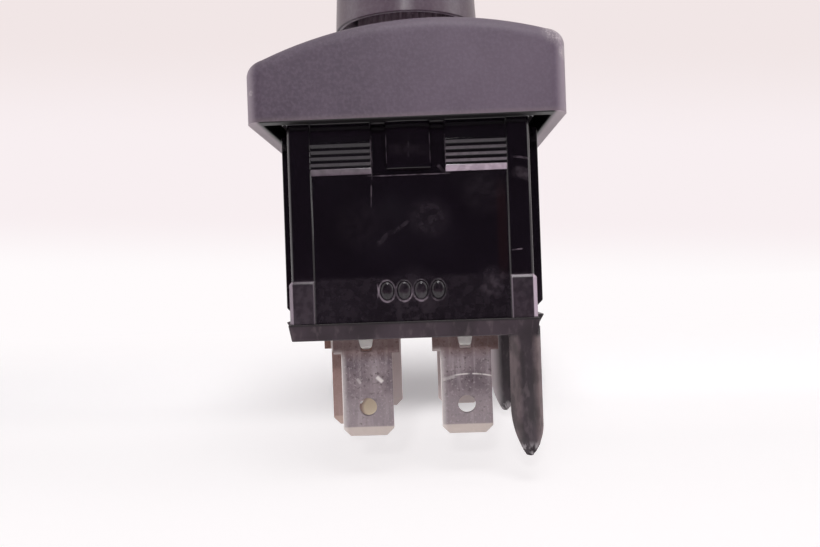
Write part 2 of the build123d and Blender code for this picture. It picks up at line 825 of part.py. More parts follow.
os.makedirs("parts", exist_ok=True)
for node, shape in build_parts().items():
    export_step(shape, "parts/" + node + ".step")
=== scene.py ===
import bpy
import json
import math
from functools import reduce
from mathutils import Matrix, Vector

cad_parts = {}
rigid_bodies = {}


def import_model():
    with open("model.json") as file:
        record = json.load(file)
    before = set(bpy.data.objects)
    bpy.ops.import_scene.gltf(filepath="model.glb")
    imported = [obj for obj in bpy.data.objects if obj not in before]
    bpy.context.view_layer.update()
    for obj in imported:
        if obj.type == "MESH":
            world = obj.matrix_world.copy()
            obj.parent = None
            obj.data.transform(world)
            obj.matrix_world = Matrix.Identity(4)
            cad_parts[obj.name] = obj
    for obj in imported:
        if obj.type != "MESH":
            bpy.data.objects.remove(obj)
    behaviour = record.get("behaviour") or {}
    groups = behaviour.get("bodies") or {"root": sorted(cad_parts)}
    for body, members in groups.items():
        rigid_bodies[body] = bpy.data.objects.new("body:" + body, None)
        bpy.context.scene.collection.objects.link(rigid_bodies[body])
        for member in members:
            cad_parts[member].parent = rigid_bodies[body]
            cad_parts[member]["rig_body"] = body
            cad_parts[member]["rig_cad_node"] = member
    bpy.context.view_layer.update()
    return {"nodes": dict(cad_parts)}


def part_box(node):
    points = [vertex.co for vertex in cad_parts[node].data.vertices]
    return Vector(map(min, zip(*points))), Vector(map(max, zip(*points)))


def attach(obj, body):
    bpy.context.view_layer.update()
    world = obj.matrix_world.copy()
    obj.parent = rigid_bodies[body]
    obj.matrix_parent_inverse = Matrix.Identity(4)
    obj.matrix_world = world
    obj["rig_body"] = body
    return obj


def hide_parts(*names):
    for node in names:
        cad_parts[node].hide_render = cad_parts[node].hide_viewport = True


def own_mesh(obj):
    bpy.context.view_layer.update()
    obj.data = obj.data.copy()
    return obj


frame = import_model()
nodes = frame["nodes"]
mm = 0.001  # sizes and places below are in millimetres, angles in degrees
weldDistance = 0.001
flatAngle = 0.4
sharpAngle = 30
smoothAngle = 32
print("frame loaded:", len(nodes), "nodes")


def metres(values):
    return tuple(value * mm for value in values)


def colour(code):  # a web colour as the shader's linear values
    shares = [int(code[place:place + 2], 16) / 255 for place in (0, 2, 4)]
    return tuple(s / 12.92 if s <= 0.04045 else ((s + 0.055) / 1.055) ** 2.4 for s in shares)


# A socket that can be used in sums, so that masks read as plain expressions
class Wire:
    def __init__(self, finish, socket):
        self.finish = finish
        self.socket = socket

    def math(self, operation, *values):
        return self.finish.node("ShaderNodeMath", {"operation": operation}, *values)

    def __add__(self, other):
        return self.math("ADD", self, other)

    def __radd__(self, other):
        return self.math("ADD", other, self)

    def __sub__(self, other):
        return self.math("SUBTRACT", self, other)

    def __rsub__(self, other):
        return self.math("SUBTRACT", other, self)

    def __mul__(self, other):
        return self.math("MULTIPLY", self, other)

    def __rmul__(self, other):
        return self.math("MULTIPLY", other, self)

    def __truediv__(self, other):
        return self.math("DIVIDE", self, other)

    def __pow__(self, other):
        return self.math("POWER", self, other)

    def __abs__(self):
        return self.math("ABSOLUTE", self)

    def sign(self):
        return self.math("SIGN", self)

    def rise(self, low, high):  # 0 below low, 1 above high, smooth between
        smoothly = {"interpolation_type": "SMOOTHSTEP"}
        return self.finish.node("ShaderNodeMapRange", smoothly, self, low, high, 0, 1)

    def fall(self, low, high):
        return 1 - self.rise(low, high)

    def band(self, low, high, soft):  # 1 between low and high
        return self.rise(low - soft, low + soft) * self.fall(high - soft, high + soft)

    def most(self, other):
        return self.math("MAXIMUM", self, other)

    def wrap(self, step):  # starts again from 0 at every step
        return self.math("FLOORED_MODULO", self, step)


# A procedural material: x, y and z are the object's own places in millimetres, tone its colour so far
class Finish:
    def __init__(self, name, tree=None, **constants):
        if tree is None:
            self.material = bpy.data.materials.new(name)
            self.material.use_nodes = True
            tree = self.material.node_tree
            self.shader = tree.nodes["Principled BSDF"]
            for socket, value in constants.items():
                self.shader.inputs[socket.replace("_", " ")].default_value = value
        self.tree = tree
        self.place = self.node("ShaderNodeTexCoord", {}, output="Object")
        self.x, self.y, self.z = [part / mm for part in self.parts(self.place)]
        self.tone = None

    def plug(self, socket, value):  # a wire, a number, a vector, or a colour as a web code or three shares
        if isinstance(value, Wire):
            self.tree.links.new(value.socket, socket)
        elif isinstance(value, str):
            socket.default_value = (*colour(value), 1)
        elif value is not None:
            socket.default_value = (*value, 1) if socket.type == "RGBA" else value

    def node(self, kind, settings, *values, output=0, **named):
        made = self.tree.nodes.new(kind)
        for name, value in settings.items():
            setattr(made, name, value)
        for socket, value in zip(made.inputs, values):
            self.plug(socket, value)
        for name, value in named.items():
            self.plug(made.inputs[name], value)
        return Wire(self, made.outputs[output])

    def parts(self, vector):
        split = self.tree.nodes.new("ShaderNodeSeparateXYZ")
        self.tree.links.new(vector.socket, split.inputs[0])
        return [Wire(self, socket) for socket in split.outputs]

    def noise(self, scale, detail=3, stretch=(1, 1, 1), offset=(0, 0, 0)):
        spot = self.node("ShaderNodeMapping", {}, self.place, offset, (0, 0, 0), stretch)
        return self.node("ShaderNodeTexNoise", {}, Vector=spot, Scale=scale, Detail=detail)

    def ray(self, kind):
        return self.node("ShaderNodeLightPath", {}, output="Is " + kind + " Ray")

    def mix(self, factor, low, high):
        made = self.tree.nodes.new("ShaderNodeMix")
        made.data_type = "RGBA"
        for index, value in ((0, factor), (6, low), (7, high)):
            self.plug(made.inputs[index], value)
        return Wire(self, made.outputs[2])

    def base(self, factor, low, high):
        self.tone = self.mix(factor, low, high)

    def paint(self, mask, code, share=None):  # lays another colour over the tone
        self.tone = self.mix(mask if share is None else mask * share, self.tone, code)

    def bump(self, height, distance, strength):
        return self.node("ShaderNodeBump", {}, Height=height, Distance=distance * mm, Strength=strength)

    def near(self, point, radius, core=0.0):  # 1 at a point, fading to 0 from a share of the radius outwards
        away = {"operation": "DISTANCE"}
        gap = self.node("ShaderNodeVectorMath", away, self.place, metres(point), output="Value")
        return gap.fall(core * radius * mm, radius * mm)

    def stroke(self, start, end, width, bow=0.0):  # a scratch between two places (x, z), bowed by a share
        (x1, z1), (x2, z2) = start, end
        length = math.hypot(x2 - x1, z2 - z1)
        dx, dz = (x2 - x1) / length, (z2 - z1) / length
        along = ((self.x - x1) * dx + (self.z - z1) * dz) / length
        across = (self.z - z1) * dx - (self.x - x1) * dz
        if bow:
            across = across - along * (1 - along) * (4 * bow * length)
        return abs(across).fall(width * 0.3, width) * along.band(0.0, 1.0, 0.12)

    def feed(self, **inputs):
        for name, value in dict(inputs, Base_Color=self.tone).items():
            self.plug(self.shader.inputs[name.replace("_", " ")], value)
        return self.material


def clearSelection():
    active = bpy.context.view_layer.objects.active
    if active and active.mode != "OBJECT":
        bpy.ops.object.mode_set(mode="OBJECT")
    bpy.ops.object.select_all(action="DESELECT")


def take(piece):
    clearSelection()
    piece.select_set(True)
    bpy.context.view_layer.objects.active = piece


def settle(piece):  # the place goes into the mesh and the object back to the origin
    take(piece)
    bpy.ops.object.transform_apply(location=True, rotation=True, scale=True)


def applyModifier(piece, kind, **settings):
    take(piece)
    added = piece.modifiers.new(kind.lower(), kind)
    for name, value in settings.items():
        setattr(added, name, value)
    bpy.ops.object.modifier_apply(modifier=added.name)


def startPicking(piece, mode):  # mode says whether corners, edges or faces are picked
    take(piece)
    bpy.context.tool_settings.mesh_select_mode = mode
    bpy.ops.object.mode_set(mode="EDIT")
    bpy.ops.mesh.select_all(action="DESELECT")
    bpy.ops.object.mode_set(mode="OBJECT")


def pick(piece, test):  # faces by their middle and normal, left selected in edit mode
    startPicking(piece, (False, False, True))
    for face in piece.data.polygons:
        face.select = test(face.center, face.normal)
    bpy.ops.object.mode_set(mode="EDIT")


def pickEdges(piece, test):  # edges by their two ends, left selected in edit mode
    startPicking(piece, (False, True, False))
    corners = piece.data.vertices
    for edge in piece.data.edges:
        edge.select = test(*[corners[index].co for index in edge.vertices])
    bpy.ops.object.mode_set(mode="EDIT")


def shiftFaces(piece, test, way):
    pick(piece, test)
    bpy.ops.transform.translate(value=metres(way))
    bpy.ops.object.mode_set(mode="OBJECT")


def stretchFaces(piece, test, shares, middle):
    pick(piece, test)
    bpy.ops.transform.resize(value=shares, center_override=middle)
    bpy.ops.object.mode_set(mode="OBJECT")


def smooth(piece, angle=smoothAngle):
    take(piece)
    bpy.ops.object.shade_smooth_by_angle(angle=math.radians(angle))
    applyModifier(piece, "WEIGHTED_NORMAL", keep_sharp=True)


def place(piece, body, slotName, material):
    piece.data.materials.clear()
    piece.data.materials.append(material)
    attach(piece, body)


def keepWithin(piece, nodeName):  # a bevel may not stand past the solid's own box
    low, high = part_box(nodeName)
    for corner in piece.data.vertices:
        corner.co = [min(max(value, l), h) for value, l, h in zip(corner.co, low, high)]


def carryOver(nodeName, pieceName, edgeRound, material, slotName):  # a node's form with softened edges
    take(nodes[nodeName])
    bpy.ops.object.duplicate()
    piece = bpy.context.active_object
    piece.name = piece.data.name = pieceName
    del piece["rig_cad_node"]
    bpy.ops.mesh.customdata_custom_splitnormals_clear()
    bpy.ops.object.mode_set(mode="EDIT")
    bpy.ops.mesh.select_all(action="SELECT")
    bpy.ops.mesh.remove_doubles(threshold=weldDistance * mm)
    bpy.ops.mesh.dissolve_limited(angle_limit=math.radians(flatAngle))
    bpy.ops.object.mode_set(mode="OBJECT")
    applyModifier(piece, "BEVEL", width=edgeRound * mm, segments=1, limit_method="ANGLE",
                  angle_limit=math.radians(sharpAngle), use_clamp_overlap=False, miter_outer="MITER_ARC")
    keepWithin(piece, nodeName)
    smooth(piece)
    place(piece, nodes[nodeName]["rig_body"], slotName, material)
    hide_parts(nodeName)
    print("piece:", pieceName, len(piece.data.polygons), "faces")
    return piece


def dress(material, *names):
    for name in names:
        slots = nodes[name].data.materials
        slots.clear()
        slots.append(material)


cameraView = {
    "place": (2.1, -111.75, -18.35),
    "forward": (-0.0248, 1.0, 0.0040),
    "roll": -2.0,
    "lens": 35.25,
    "sensor": 36,
    "nearest": 5,
}


def addCamera():
    look = cameraView
    camera = bpy.data.objects.new("camera", bpy.data.cameras.new("camera"))
    bpy.context.scene.collection.objects.link(camera)
    camera.location = metres(look["place"])
    camera.rotation_euler = Vector(look["forward"]).to_track_quat("-Z", "Y").to_euler()
    camera.rotation_euler.rotate_axis("Z", math.radians(look["roll"]))
    camera.data.lens = look["lens"]
    camera.data.sensor_width = look["sensor"]
    camera.data.clip_start = look["nearest"] * mm
    bpy.context.scene.camera = camera
    print("camera done")


# A paper sweep: a level run, a slope under the switch, a level run behind it and a wall
sweepLook = {
    "halfWidth": 2400,
    "profile": [(-2500, -43.4), (22, -43.4), (75, -24.1), (500, -24.1), (500, 600)],  # (y, z)
    "fold": 12,
    "foldSegments": 10,
    "foldAngle": 6,
    "paper": (0.93, 0.90, 0.91),
    "paperSeen": (1.36, 1.33, 1.34),
    "glow": "FFFBFC",
    "wallMiddle": "F8EFF1",
    "wallTop": "F1E6E6",
    "mirroredFront": (0.20, 0.10, 0.15),
    "wallFrom": (300, 470),
    "heightLean": 0.05,
    "middleFrom": (-22, 28),
    "topFrom": (80, 165),
    "frontUpTo": (-280, -160),
    "glowUpTo": (20, 34),
    "farFrom": (36, 62),
    "asideFrom": (100, 250),
    "glowShare": 0.66,
    "shadowShare": 0.08,
    "farShare": 0.92,
}


def paperFinish():
    look = sweepLook
    made = Finish("sweepPaper")
    height = made.z + look["heightLean"] * made.x
    wall = made.y.rise(*look["wallFrom"])
    glossy = made.ray("Glossy")
    # painted shade: the wall grows darker towards its top
    made.base(height.rise(*look["middleFrom"]) * wall, look["glow"], look["wallMiddle"])
    made.paint(height.rise(*look["topFrom"]) * wall, look["wallTop"])
    made.paint(glossy * made.y.fall(*look["frontUpTo"]), look["mirroredFront"])
    seen = made.ray("Camera").most(made.ray("Transmission"))
    far = made.y.rise(*look["farFrom"]).most(abs(made.x).rise(*look["asideFrom"]))
    share = look["glowShare"] * made.y.fall(*look["glowUpTo"]) + look["shadowShare"] + far * look["farShare"]
    glow = made.node("ShaderNodeEmission", {}, made.tone, 1.0)
    plain = made.node("ShaderNodeBsdfDiffuse", {}, made.mix(seen, look["paper"], look["paperSeen"]))
    mixed = made.node("ShaderNodeMixShader", {}, (seen * share).most(glossy), plain, glow)
    made.plug(made.tree.nodes["Material Output"].inputs[0], mixed)
    return made.material


def addSweep():
    look = sweepLook
    corners = [metres(corner) for corner in look["profile"]]
    (y0, z0), (y1, z1) = corners[:2]
    clearSelection()
    bpy.ops.mesh.primitive_plane_add(size=1, location=(0, (y0 + y1) / 2, z0))
    sweep = bpy.context.active_object
    sweep.name = "paperSweep"
    sweep.scale = (2 * look["halfWidth"] * mm, y1 - y0, 1)
    settle(sweep)
    for (ya, za), (yb, zb) in zip(corners[1:], corners[2:]):
        pickEdges(sweep, lambda *ends: all(abs(end.y - ya) + abs(end.z - za) < 0.1 * mm for end in ends))
        bpy.ops.mesh.extrude_region_move(TRANSFORM_OT_translate={"value": (0, yb - ya, zb - za)})
        bpy.ops.object.mode_set(mode="OBJECT")
    applyModifier(sweep, "BEVEL", width=look["fold"] * mm, segments=look["foldSegments"],
                  limit_method="ANGLE", angle_limit=math.radians(look["foldAngle"]))
    take(sweep)
    bpy.ops.object.shade_smooth()
    sweep.data.materials.append(paperFinish())
    print("sweep done")


# Lamps: place, aim, size, power in watts, and whether surfaces mirror and scatter them
lampList = {
    "flashLamp": {"spot": (-24, -360, 94), "aim": (0, 0, -12), "size": (30, 24),
                  "power": 0.56, "mirrored": False, "diffuse": True},
    "softBox": {"spot": (39, -219, 340), "aim": (0, 0, -15), "size": (220, 220),
                "power": 0.68, "mirrored": True, "diffuse": True},
    "bandLamp": {"spot": (0, -360, 150), "aim": (0, 0, 18), "size": (30, 50),
                 "power": 0.20, "mirrored": True, "diffuse": False},
    "topLamp": {"spot": (100, 20, 420), "aim": (0, 0, -30), "size": (300, 300),
                "power": 0.12, "mirrored": True, "diffuse": True},
    "leftLamp": {"spot": (-340, 20, 100), "aim": (0, 0, 0), "size": (140, 260),
                 "power": 0.09, "mirrored": True, "diffuse": True},
    "rightLamp": {"spot": (310, -40, 140), "aim": (0, 0, 0), "size": (140, 260),
                  "power": 0.17, "mirrored": True, "diffuse": True},
}


def addLamps():
    for name, look in lampList.items():
        lamp = bpy.data.objects.new(name, bpy.data.lights.new(name, "AREA"))
        bpy.context.scene.collection.objects.link(lamp)
        lamp.location = metres(look["spot"])
        way = Vector(metres(look["aim"])) - Vector(metres(look["spot"]))
        lamp.rotation_euler = way.to_track_quat("-Z", "Y").to_euler()
        lamp.data.shape = "RECTANGLE"
        lamp.data.size, lamp.data.size_y = metres(look["size"])
        lamp.data.energy = look["power"]
        lamp.visible_glossy = look["mirrored"]
        lamp.visible_diffuse = look["diffuse"]
        lamp.visible_camera = False
    print("lamps done")


# The room round the sweep: dark in front, lighter behind, and paper white where it is seen
roomLook = {
    "front": (0.02, 0.018, 0.02),
    "back": (0.16, 0.151, 0.157),
    "turn": (-0.85, 0.35),
    "heightShare": 0.5,
    "mirrored": (-0.93, -0.45),
    "seen": "FBF5F6",
}


def addRoom():
    look = roomLook
    world = bpy.data.worlds.new("room")
    bpy.context.scene.world = world
    world.use_nodes = True
    room = Finish("room", world.node_tree)
    sideward, backward, upward = room.parts(room.node("ShaderNodeTexCoord", {}, output="Generated"))
    lit = (backward + look["heightShare"] * upward).rise(*look["turn"])
    glossy = room.ray("Glossy") * backward.rise(*look["mirrored"])
    seen = room.ray("Camera").most(room.ray("Transmission")).most(glossy)
    tone = room.mix(seen, room.mix(lit, look["front"], look["back"]), look["seen"])
    room.plug(world.node_tree.nodes["Background"].inputs[0], tone)
    bpy.context.scene.view_settings.view_transform = "Standard"
    print("room done")


capLook = {
    "edgeRound": 0.10,
    "dark": "453946",
    "light": "5E505F",
    "shadeAcross": (-17, 16),
    "shadeShare": 0.65,
    "cloudScale": 110,
    "grain": "6B5E6D",
    "grainScale": 2600,
    "grainShare": 0.35,
    "grainDepth": 0.03,
    "rough": 0.44,
    # painted sheen colour for the cap's rounded side corners
    "edge": "B3A4B0",
    "edgeX": (17.1, 18.8),
    "edgeY": (17.0, 17.8),
    "edgeSheenShare": 0.70,
    "rim": "A3958C",
    "rimHeight": (0.2, 0.8),
    "rimShare": 0.10,
    "rimFace": (0.09, 0.16),
    "sideRimLight": "C0B0B8",
    "sideRimLightShare": 0.75,
    "paleMark": "CDC2C4",
    "wornScale": 3600,
    "wornShare": 0.55,
    # painted shade colour for the inside of the cap and the bottom face of its rim
    "inside": "0E0A0D",
    "wallInner": (17.1, 17.8),
    "roofUnder": 11.0,
    "crest": 3.2,
    "crownRadius": 49.5,
    "wornCorners": [  # place and radius
        ((17.6, -18.6, 9.4), 2.9),
        ((18.4, -18.4, 7.0), 1.6),
        ((-17.9, -18.8, 3.6), 0.7),
    ],
}


def capFinish():
    look = capLook
    made = Finish("capPlastic")
    side, depth = abs(made.x), abs(made.y)
    grain = made.noise(look["grainScale"], 4)
    cloud = made.noise(look["cloudScale"], 3).rise(0.30, 0.70)
    chips = made.noise(look["wornScale"], 2).rise(0.40, 0.66)
    # painted shade: the cap is darker towards its left side, mixed with a cloudy mottle of its own
    shadeAndMottle = look["shadeShare"] * made.x.rise(*look["shadeAcross"]) + (1 - look["shadeShare"]) * cloud
    made.base(shadeAndMottle, look["dark"], look["light"])
    made.paint(grain.rise(0.35, 0.75), look["grain"], look["grainShare"])
    # painted sheen: the rounded side corners are painted lighter
    made.paint(side.rise(*look["edgeX"]) * depth.rise(*look["edgeY"]), look["edge"], look["edgeSheenShare"])
    made.paint(made.z.fall(*look["rimHeight"]), look["rim"], look["rimShare"])
    paleMark = reduce(Wire.most, [made.near(spot, radius) for spot, radius in look["wornCorners"]])
    made.paint(paleMark.rise(0.1, 0.9) * (0.35 + 0.65 * chips), look["paleMark"], look["wornShare"])
    # painted shade: the inside walls, the underside of the roof and the rim's bottom face away from the sides
    # are painted near black
    wallX, wallY = look["wallInner"]
    fromCrest = made.x - look["crest"]
    underRoof = made.z + fromCrest * fromCrest / (2 * look["crownRadius"])
    inside = side.fall(wallX - 0.2, wallX) * depth.fall(wallY - 0.2, wallY)
    inside = inside * underRoof.fall(look["roofUnder"] - 0.2, look["roofUnder"])
    onRim = made.z.fall(*look["rimFace"])
    made.paint(inside.most(onRim * side.fall(wallX - 0.3, wallX + 0.5)), look["inside"])
    # painted light: the rim's bottom face at the sides is painted pale
    made.paint(onRim * side.rise(wallX - 0.2, wallX + 0.5), look["sideRimLight"], look["sideRimLightShare"])
    return made.feed(Roughness=look["rough"] + 0.14 * grain, Normal=made.bump(grain, look["grainDepth"], 0.5))


def addCap():
    carryOver("cap", "capShell", capLook["edgeRound"], capFinish(), "cap_plastic")


# Four moulded pips low on the front panel
pipRow = {
    "count": 4,
    "pitch": 2.02,
    "radius": 0.98,
    "tall": 1.32,
    "thick": 0.4,
    "middleZ": -19.95,
    "faceInset": 0.40,
    "steps": [(0.08, 0.05), (0.10, -0.10), (0.10, 0.12), (0.14, 0.08), (0.16, 0.04)],  # inward, outward
    "ring": (0.88, 1.06, 0.06),  # inner and outer radius, softness
    "ringPale": 0.06,
    "ringBright": 0.22,
    "litHeight": (-0.9, 0.6),
    "litLean": 0.4,
}


def pipRingHighlights(made):  # painted highlights: pale rings round the pips, brightest at their low left
    row = pipRow
    across = abs(made.x).wrap(row["pitch"]) - row["pitch"] / 2
    upward = (made.z - row["middleZ"]) / row["tall"]
    reach = (across * across + upward * upward) ** 0.5
    rowEnd = row["count"] / 2 * row["pitch"] + 0.06
    ring = reach.band(*row["ring"]) * abs(made.x).fall(rowEnd, rowEnd + 0.2)
    lowLeft = (made.z + row["litLean"] * made.x - row["middleZ"]).fall(*row["litHeight"])
    return ring * (row["ringPale"] + row["ringBright"] * lowLeft)


def addPips(material):
    look = pipRow
    low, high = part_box("housing")
    middleX = (high.x + low.x) / 2
    y = low.y + (look["faceInset"] + look["thick"] / 2) * mm
    for index in range(look["count"]):
        clearSelection()
        x = middleX + (index - (look["count"] - 1) / 2) * look["pitch"] * mm
        bpy.ops.mesh.primitive_cylinder_add(
            vertices=32, radius=look["radius"] * mm, depth=look["thick"] * mm,
            location=(x, y, look["middleZ"] * mm), rotation=(math.pi / 2, 0, 0))
        pip = bpy.context.active_object
        pip.name = "pip" + str(index + 1)
        pip.scale = (1, look["tall"], 1)
        settle(pip)
        pick(pip, lambda middle, normal: normal.y < -0.9)
        for inward, outward in look["steps"]:
            bpy.ops.mesh.inset(thickness=inward * mm, depth=outward * mm)
        bpy.ops.object.mode_set(mode="OBJECT")
        smooth(pip, 60)
        place(pip, "switch_body", "housing_plastic", material)
    print("pips done")


housingLook = {
    "edgeRound": 0.08,
    "black": "0D090D",
    "haze": "17111A",
    # pale colour for scratches and for painted highlights
    "paleMark": "BCA9B8",
    "rust": "3A1C14",
    "rustAcross": (10.3, 11.4, 0.2),  # from, to, softness
    "rustHeight": (-18, -8, 2),
    "rustShare": 0.12,
    "smearScale": 90,
    "roughScale": 1300,
    "speckScale": 4200,
    "gloss": 0.09,
    "leftToRight": (-3, 3),
    "frontFrom": -15.4,
    "panelFace": -16.6,
    "dullFrom": -18.0,
    "ribTop": -1.90,
    "ribPitch": 0.75,
    "ribLit": (0.44, 0.50),
    "ribReach": (4.4, 11.65),
    "ribRows": 3.3,
    "ribShare": 0.72,
    "lastRib": (3.38, 4.1),
    "lastRibShare": 0.85,
    "leftRibShare": 0.26,
    "footTop": -18.4,
    "footInner": 11.60,
    "footOuter": 14.30,
    "footDepth": (-16.5, -16.3),
    "footInnerShare": 0.26,
    "footTopShare": 0.28,
    "leftFootShare": 0.5,
    "scratchesAndEdgeHighlights": [  # start and end (x, z), width, bow, strength
        ((-4.50, -7.3), (-4.60, -9.8), 0.12, 0.0, 0.08),
        ((-4.00, -14.5), (-2.20, -12.9), 0.50, 0.05, 0.016),
        ((-2.40, -13.1), (-0.30, -11.7), 0.35, -0.05, 0.022),
        ((0.60, -10.4), (2.20, -12.6), 0.40, 0.08, 0.016),
        ((3.40, -10.2), (1.20, -12.0), 0.50, 0.05, 0.014),
        ((3.50, -5.1), (4.25, -6.0), 0.30, 0.0, 0.06),
        # the next six are painted highlights along the tongue's sides and middle, the notch walls and the
        # notch floor edge
        ((-2.60, -1.4), (-2.60, -4.7), 0.10, 0.0, 0.05),
        ((2.60, -1.4), (2.60, -4.7), 0.10, 0.0, 0.05),
        ((0.10, -1.4), (0.05, -4.2), 0.16, 0.0, 0.018),
        ((-4.40, -1.6), (-4.40, -6.6), 0.13, 0.0, 0.09),
        ((4.40, -1.6), (4.40, -6.1), 0.11, 0.0, 0.06),
        ((-4.35, -6.22), (4.35, -6.22), 0.13, 0.0, 0.13),
        ((12.30, -4.6), (15.00, -5.2), 0.20, 0.05, 0.06),
        ((12.40, -6.3), (15.00, -7.6), 0.90, 0.10, 0.045),
        ((11.90, -15.6), (13.10, -15.5), 0.11, 0.0, 0.20),
        # painted sheen across the middle of the tongue
        ((-2.40, -3.1), (2.40, -3.3), 0.90, 0.0, 0.010),
    ],
    "blotches": [  # place (x, z), radius, strength
        ((2.2, -11.4), 3.2, 0.016),
        ((8.8, -8.6), 3.4, 0.010),
        ((-6.0, -12.0), 4.0, 0.006),
        ((9.5, -19.4), 2.4, 0.05),
        ((0.0, -21.4), 4.8, 0.03),
    ],
}

# Forms of the front that are moved along z: how far forward, aside, low and high they lie, and the shift
housingShifts = {
    "ribs": {"forward": -16.76, "aside": 11.7, "low": -6.2, "high": -1.9, "shift": 0.25},
    "tongueFoot": {"forward": -15.5, "aside": 2.9, "low": -5.1, "high": -4.6, "shift": -0.6},
}


def panelMarks(made, rough):  # scratches, dull spots and the dull band low on the panel, with painted highlights along the notch and tongue edges and round the pips
    look = housingLook
    marks = [made.stroke(start, end, width, bow) * strength
             for start, end, width, bow, strength in look["scratchesAndEdgeHighlights"]]
    for (x, z), radius, strength in look["blotches"]:
        marks.append(made.near((x, look["panelFace"], z), radius, 0.3) * strength)
    marks = reduce(Wire.most, marks) * (0.45 + rough)
    dull = made.z.fall(look["dullFrom"] - 0.6, look["dullFrom"])
    speck = made.noise(look["speckScale"], 2).rise(0.64, 0.74)
    marks = marks.most(speck * (0.006 + 0.03 * dull)).most(dull * (0.010 + 0.012 * rough))
    return marks.most(pipRingHighlights(made) * (0.5 + rough))


def ribHighlights(made, rough):  # painted highlights on the lower half of each rib, stronger downwards and to the right
    look = housingLook
    left, (inner, outer) = look["leftRibShare"], look["ribReach"]
    down = look["ribTop"] - made.z
    rows = down.wrap(look["ribPitch"]).rise(*look["ribLit"]) * down.band(0.0, look["ribRows"], 0.05)
    last = down.band(*look["lastRib"], 0.04) * look["lastRibShare"]
    lines = (rows * (0.02 + down * 0.12) * look["ribShare"]).most(last) * abs(made.x).band(inner, outer, 0.05)
    return lines * (left + (1 - left) * made.x.rise(*look["leftToRight"])) * (0.75 + 0.25 * rough)


def footHighlights(made, rough):  # painted highlights: pale edges and a faintly lighter face on the two corner feet, stronger to the right
    look = housingLook
    left, side = look["leftFootShare"], abs(made.x)
    inner, outer, top = look["footInner"], look["footOuter"], look["footTop"]
    foot = side.rise(inner, inner + 0.1) * made.z.fall(top - 0.2, top)
    innerEdge = side.band(inner, inner + 0.22, 0.04) * look["footInnerShare"]
    outerEdge = side.rise(outer - 0.18, outer) * made.y.fall(*look["footDepth"])
    topEdge = made.z.rise(top - 0.5, top - 0.2) * look["footTopShare"]
    edges = innerEdge.most(outerEdge).most(topEdge) * (left + (1 - left) * made.x.rise(*look["leftToRight"]))
    return foot * edges.most(0.03 + 0.02 * rough)


def housingFinish():
    look = housingLook
    made = Finish("housingPlastic")
    smear = made.noise(look["smearScale"], 4)
    rough = made.noise(look["roughScale"], 4).rise(0.38, 0.62)
    front = made.y.fall(look["frontFrom"] - 0.4, look["frontFrom"])
    marks = panelMarks(made, rough)
    rust = made.x.band(*look["rustAcross"]) * made.z.band(*look["rustHeight"])
    ribs = ribHighlights(made, rough) * front
    paintedLight = footHighlights(made, rough) * front
    made.base(smear, look["black"], look["haze"])
    # scratches and dull spots, with painted highlights along the notch and tongue edges and round the pips
    made.paint(marks * front, look["paleMark"])
    made.paint(rust * front, look["rust"], look["rustShare"])
    # painted highlights on the ribs
    made.paint(ribs, look["paleMark"])
    # painted highlights on the corner feet
    made.paint(paintedLight, look["paleMark"])
    wearAndHighlights = 0.4 * ribs + 0.8 * marks + 0.5 * paintedLight
    return made.feed(Roughness=look["gloss"] + 0.12 * smear.rise(0.4, 0.8) + wearAndHighlights)


def addHousing(material):
    housing = carryOver("housing", "housingBox", housingLook["edgeRound"], material, "housing_plastic")
    for form in housingShifts.values():
        def inForm(middle, normal):
            x, y, z = middle / mm
            return y < form["forward"] and abs(x) < form["aside"] and form["low"] < z < form["high"]
        shiftFaces(housing, inForm, (0, 0, form["shift"]))


plateLook = {
    "edgeRound": 0.10,
    "frayFrom": -38.7,
    "frayForward": -14,
    "frayMargin": 0.3,
    "frayCuts": 4,
    "fray": 0.10,
    "fraySeed": 3,
    "dark": "251C22",
    "light": "392D35",
    "smearScale": 200,
    "rough": 0.26,
    "scuff": "6A5D62",
    "scuffScale": 1500,
    "scuffShare": 0.35,
    "scuffDepth": 0.02,
    "blot": "171013",
    "blotScale": 700,
    "blotShare": 0.55,
    # painted highlight colour for the fin edges
    "paintedLight": "9C8889",
    "innerShare": 0.36,
    "outerShare": 0.7,
    # pale colour for the painted highlight band on the rear fin and the chipped fin tip
    "pale": "F6EEF2",
    "tipShare": 0.4,
    "finTop": -25.4,
    "finTip": -38.0,
    "finInner": 11.2,
    "finOuter": 14.9,
    "rearFrom": (10, 12),
    "seamHeight": (-23.95, -23.75),
    "seamDepth": (-16.6, -16.4),
    "seamReach": (15.8, 16.2),
    "seamShare": 0.9,
}


def frayTip(plate):  # the tip of the front fin is chipped and rough
    look = plateLook
    low, forward = look["frayFrom"] * mm, look["frayForward"] * mm
    pick(plate, lambda middle, normal: middle.z < low and middle.y < forward)
    bpy.ops.mesh.subdivide(number_cuts=look["frayCuts"])
    bpy.ops.object.mode_set(mode="OBJECT")
    bpy.context.tool_settings.mesh_select_mode = (True, False, False)
    for corner in plate.data.vertices:
        corner.select = corner.co.z < low - look["frayMargin"] * mm and corner.co.y < forward
    bpy.ops.object.mode_set(mode="EDIT")
    bpy.ops.transform.vertex_random(offset=look["fray"] * mm, seed=look["fraySeed"])
    bpy.ops.object.mode_set(mode="OBJECT")
    keepWithin(plate, "base_plate")
    take(plate)
    bpy.ops.object.mode_set(mode="EDIT")
    bpy.ops.mesh.select_all(action="SELECT")
    bpy.ops.mesh.dissolve_degenerate(threshold=weldDistance * mm)
    bpy.ops.object.mode_set(mode="OBJECT")


